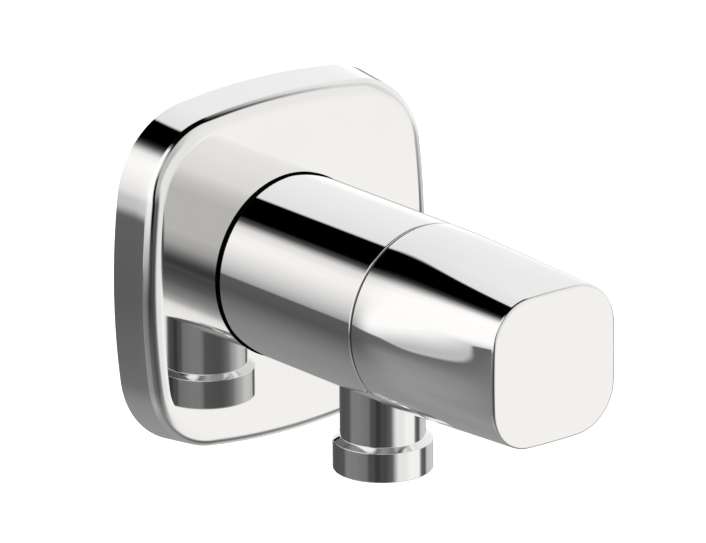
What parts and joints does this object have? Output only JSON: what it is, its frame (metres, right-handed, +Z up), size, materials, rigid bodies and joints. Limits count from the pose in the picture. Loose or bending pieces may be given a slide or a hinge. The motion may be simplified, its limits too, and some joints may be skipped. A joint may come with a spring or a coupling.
{
  "type": "angle stop valve",
  "caption": "Chromed wall-mounted angle stop valve with a soft-square escutcheon, a round barrel, a square-ended quarter-turn handle and a downward outlet.",
  "frame": {"origin": "where the valve's axis meets the finished wall", "axes": "+Y into the wall along the inlet, -Y out of the wall towards the handle, +Z up, outlet pointing down -Z, +X to the right seen from the front"},
  "size_m": [0.0608, 0.093, 0.0608],
  "materials": {
    "chrome": "polished chrome plate",
    "brass": "machined brass",
    "black_rubber": "matt black EPDM",
    "ceramic": "lapped white alumina ceramic",
    "black_plastic": "moulded black acetal",
    "white_plastic": "moulded white acetal",
    "foam": "closed-cell grey foam",
    "stainless_steel": "plain stainless steel"
  },
  "bodies": {
    "valve": {"valve_body": "brass", "inlet_sealing_ring": "white_plastic", "body_sleeve": "chrome", "handle_bearing_ring": "black_plastic", "outlet_nipple": "chrome", "outlet_o_ring": "black_rubber", "headwork_housing": "brass", "headwork_gasket": "black_rubber", "seat_gasket": "black_rubber", "thrust_washer": "white_plastic", "ceramic_disc_fixed": "ceramic"},
    "handle": {"handle_shell": "chrome", "handle_insert": "white_plastic", "handle_grub_screw": "stainless_steel", "spindle": "brass", "spindle_o_ring_1": "black_rubber", "spindle_o_ring_2": "black_rubber", "spindle_circlip": "stainless_steel", "ceramic_disc_moving": "ceramic"},
    "escutcheon": {"escutcheon_plate": "chrome", "escutcheon_lip_seal": "black_rubber", "wall_gasket": "foam"}
  },
  "joints": [
    {"name": "handle_turn", "type": "hinge", "parent": "valve", "child": "handle", "pos_m": [0, -0.06, 0], "axis": [0, -1, 0], "range_deg": [0, 90]},
    {"name": "escutcheon_slide", "type": "slide", "parent": "valve", "child": "escutcheon", "axis": [0, -1, 0], "range_m": [0, 0.015]}
  ]
}
